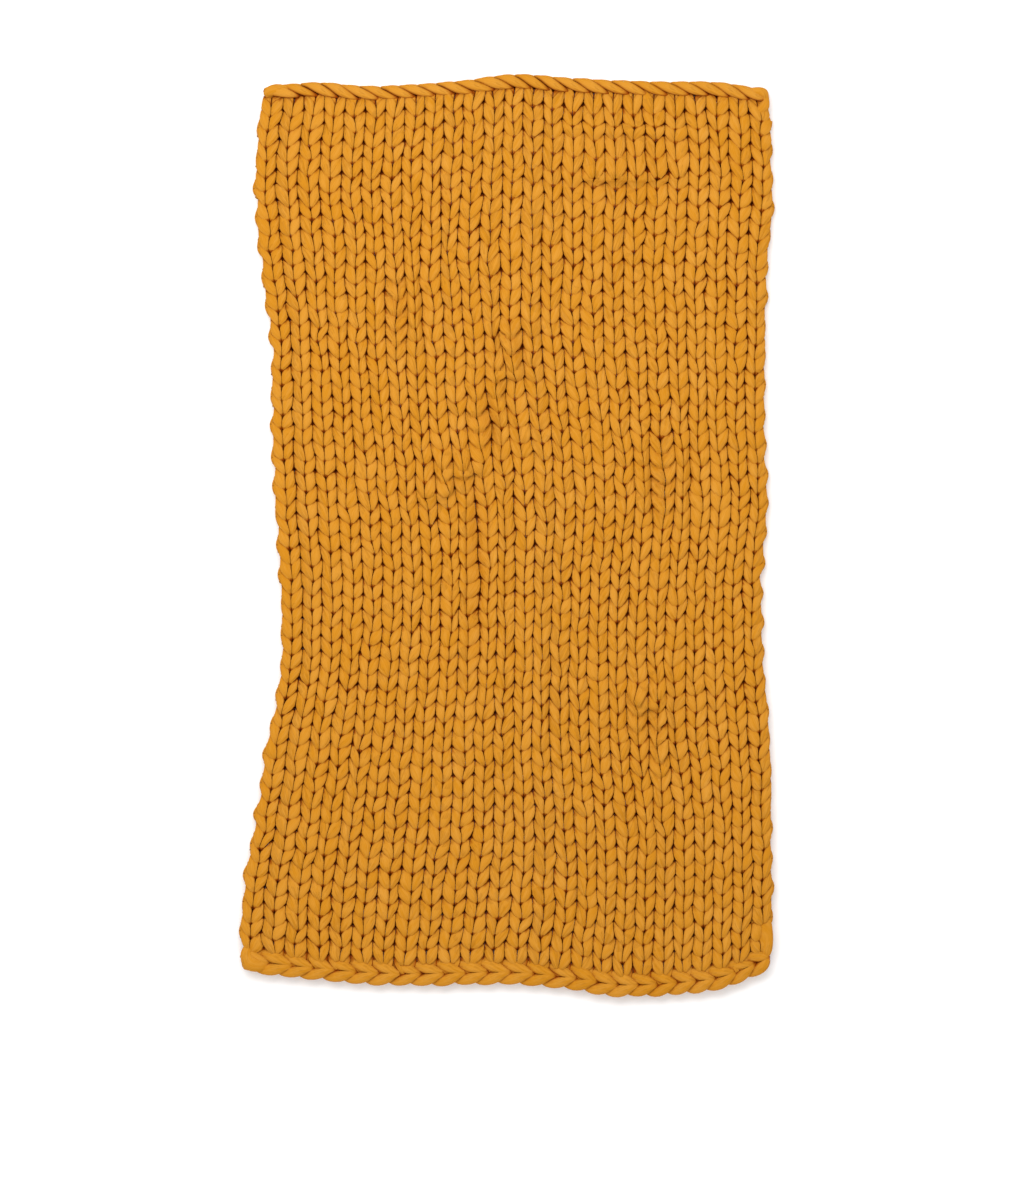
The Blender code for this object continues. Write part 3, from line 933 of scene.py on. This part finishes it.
# How much the loops differ, as in the field.
ROLL_REACH_SPREAD = 1.5 * MM
ROLL_SLANT_SPREAD = 1.0 * MM
ROLL_OUT_SPREAD = 0.5 * MM
ROLL_PLUMP_SPREAD = 0.06
ROLL_TONE_SPREAD = 0.08

# How far the strands reach to either side before they are pressed in, with the bumps of the hidden legs.
ROLL_LIMIT = 15.5 * MM
ROLL_BUMP = 5 * MM
ROLL_LIMIT_POWER = 4

# The first loop's head and the last one's feet, as shares of the others' sizes.
ROLL_END_REACH = 0.7
ROLL_END_SLANT = 0.3

# Where shade is painted into the yarn between two strands, by its height, and where the roll's back is free
# of it again.
ROLL_SHADE_START_HEIGHT = 14.5 * MM
ROLL_SHADE_RAMP = 11 * MM
ROLL_SHADE_SHARE = 0.6
ROLL_BACK_REACH = 9 * MM
ROLL_BACK_EASE = 6 * MM

# The first loop's rounded end, and the last one's, which curls down round the right corner, as the tails of
# the chain.
ROLL_KNOB = (
    (-16, -4, -3, 6),
    (-9, 0, 5, 8.5),
    (-16, 4, 9, 10.5),
    (-32, 5, 9, 10.5),
    (-58, 1, 0, 6),
)
ROLL_CURL = (
    (-44, 2, 2, 6),
    (-26, 6, 8, 8.5),
    (-10, 5, 10, 9.5),
    (-4, -7, 6, 6.5),
    (-6, -19, 6, 8.5),
    (-14, -33, 3, 8),
    (-22, -43, -5, 5),
)


def roll_links(count):
    """Every loop's path and sizes, and how far it may reach over the roll. Along the roll the strand follows
    a cosine, and over it the same cosine, so that it slants down to the right; outward a sine lifts the front
    leg and sinks the one behind, which is pushed back."""
    turn = np.linspace(-LINK_TURN, LINK_TURN, LINK_STEPS)[None, :]
    link = np.arange(count)[:, None]
    wave = np.sin(turn)
    behind = np.where(turn < 0, wave**2, 0)
    head = (1 + np.cos(turn)) / 2
    ending = (link == 0) * head + (link == count - 1) * (1 - head)
    pitch = (RIBS * RIB_PITCH - 2 * ROLL_MARGIN) / count
    reach = ROLL_REACH + uneven((count, 1), ROLL_REACH_SPREAD)
    reach = reach * (1 - (1 - ROLL_END_REACH) * ending)
    along = ROLL_MARGIN + (link + 0.5) * pitch - reach * np.cos(turn)
    slant = ROLL_SLANT + uneven((count, 1), ROLL_SLANT_SPREAD)
    slant = slant * (1 - (1 - ROLL_END_SLANT) * ending)
    over = slant * np.cos(turn) + ROLL_PEEP * behind
    out = np.where(turn < 0, ROLL_SINK, ROLL_RISE) * wave + uneven((count, 1), ROLL_OUT_SPREAD)
    pinch = 1 - ROLL_PINCH * np.cos(turn) ** 2 * (1 - ending)
    size = pinch * (1 + uneven((count, 1), ROLL_PLUMP_SPREAD))
    path = np.stack(np.broadcast_arrays(along, over, out), axis=-1)
    return path, ROLL_HALF_WIDTH * size, ROLL_HALF_DEPTH * size, ROLL_LIMIT + ROLL_BUMP * behind


def rolled_end(name):
    """The whole roll as one mesh, with its strands pressed inside its thickness: each distance over the roll
    is divided by a root of one and its share of the limit, so that the limit sets in smoothly."""
    path, width, depth, limit = roll_links(RIBS)
    rings = tube(path, width, depth, ROLL_SQUARENESS)
    share = (rings[..., 1] / limit[..., None]) ** ROLL_LIMIT_POWER
    rings[..., 1] /= (1 + share) ** (1 / ROLL_LIMIT_POWER)
    # Painted shade between the strands, faded out on the roll's back.
    painted_shade = ROLL_SHADE_SHARE * np.clip((ROLL_SHADE_START_HEIGHT - rings[..., 2]) / ROLL_SHADE_RAMP, 0, 1)
    painted_shade *= np.clip((ROLL_BACK_REACH - rings[..., 1]) / ROLL_BACK_EASE, 0, 1)
    tails = [tail(ROLL_KNOB, False, ROLL_SQUARENESS), tail(ROLL_CURL, True, ROLL_SQUARENESS)]
    rings = np.concatenate([rings, *tails])
    painted_shade = np.concatenate([painted_shade, np.zeros_like(painted_shade[: len(tails)])])
    tone = np.broadcast_to(YARN_TONE + uneven((len(rings), 1), ROLL_TONE_SPREAD), rings.shape[:2])
    return strand_mesh(name, along_end(rings, "knit_top", "roll_edge", ROLL_HEIGHT), tone, painted_shade)


finish_piece(rolled_end("rolled_end"))


# ---- Floor, light and camera -----------------------------------------------------------------------
# A white sweep under the blanket, a wide soft light above its rolled end with an even fill, and a long lens
# looking straight down from the picture's middle.
FLOOR_HALF = 6.0
FLOOR_WHITE = (0.92, 0.92, 0.92, 1)
FLOOR_ROUGHNESS = 0.9
FLOOR_GLOW = 0.03
SKY_WHITE = (1.0, 1.0, 1.0, 1)
SKY_STRENGTH = 0.97
LAMP_WIDE, LAMP_DEEP = 3.2, 1.6
LAMP_POWER = 73
LAMP_PLACE = (-0.5, 1.2, 3.0)

# The picture's height and middle and the blanket's middle and length in it, all in pixels; the blanket's
# length and the camera's height, in metres; and the camera's sensor, in millimetres.
PHOTO_HIGH = 1188
PHOTO_MIDDLE = (512, 594)
OBJECT_MIDDLE = (507, 534.5)
OBJECT_PIXELS = 923
OBJECT_LONG = 1.83
METRES_PER_PIXEL = OBJECT_LONG / OBJECT_PIXELS
CAMERA_HEIGHT = 7.0
SENSOR = 36.0


def studio():
    """The pale floor, a sky of even light, and one wide lamp."""
    mesh = bpy.data.meshes.new("floor")
    near, far = -FLOOR_HALF, FLOOR_HALF
    mesh.from_pydata([(near, near, 0), (far, near, 0), (far, far, 0), (near, far, 0)], [], [(0, 1, 2, 3)])
    floor = bpy.data.objects.new("floor", mesh)
    bpy.context.scene.collection.objects.link(floor)
    material = bpy.data.materials.new("white_floor")
    material.use_nodes = True
    shader = material.node_tree.nodes["Principled BSDF"]
    shader.inputs["Base Color"].default_value = FLOOR_WHITE
    shader.inputs["Roughness"].default_value = FLOOR_ROUGHNESS
    shader.inputs["Emission Strength"].default_value = FLOOR_GLOW
    mesh.materials.append(material)
    world = bpy.data.worlds.new("studio")
    world.use_nodes = True
    world.node_tree.nodes["Background"].inputs["Color"].default_value = SKY_WHITE
    world.node_tree.nodes["Background"].inputs["Strength"].default_value = SKY_STRENGTH
    bpy.context.scene.world = world
    lamp = bpy.data.lights.new("wide_lamp", "AREA")
    lamp.shape = "RECTANGLE"
    lamp.size, lamp.size_y = LAMP_WIDE, LAMP_DEEP
    lamp.energy = LAMP_POWER
    holder = bpy.data.objects.new("wide_lamp", lamp)
    holder.location = LAMP_PLACE
    holder.rotation_euler = (-holder.location).to_track_quat("-Z", "Y").to_euler()
    bpy.context.scene.collection.objects.link(holder)


def photo_camera():
    """Straight down with a long lens: its focal length is the sensor's size times the camera's height over
    the cloth, over the metres that the photo's height covers."""
    x = (PHOTO_MIDDLE[0] - OBJECT_MIDDLE[0]) * METRES_PER_PIXEL
    y = (OBJECT_MIDDLE[1] - PHOTO_MIDDLE[1]) * METRES_PER_PIXEL
    data = bpy.data.cameras.new("camera")
    data.sensor_width = SENSOR
    data.lens = SENSOR * (CAMERA_HEIGHT - MIDDLE_HEIGHT) / (PHOTO_HIGH * METRES_PER_PIXEL)
    camera = bpy.data.objects.new("camera", data)
    camera.location = (x, y, CAMERA_HEIGHT)
    bpy.context.scene.collection.objects.link(camera)
    bpy.context.scene.camera = camera


studio()
photo_camera()
bpy.context.scene.view_settings.view_transform = "Standard"
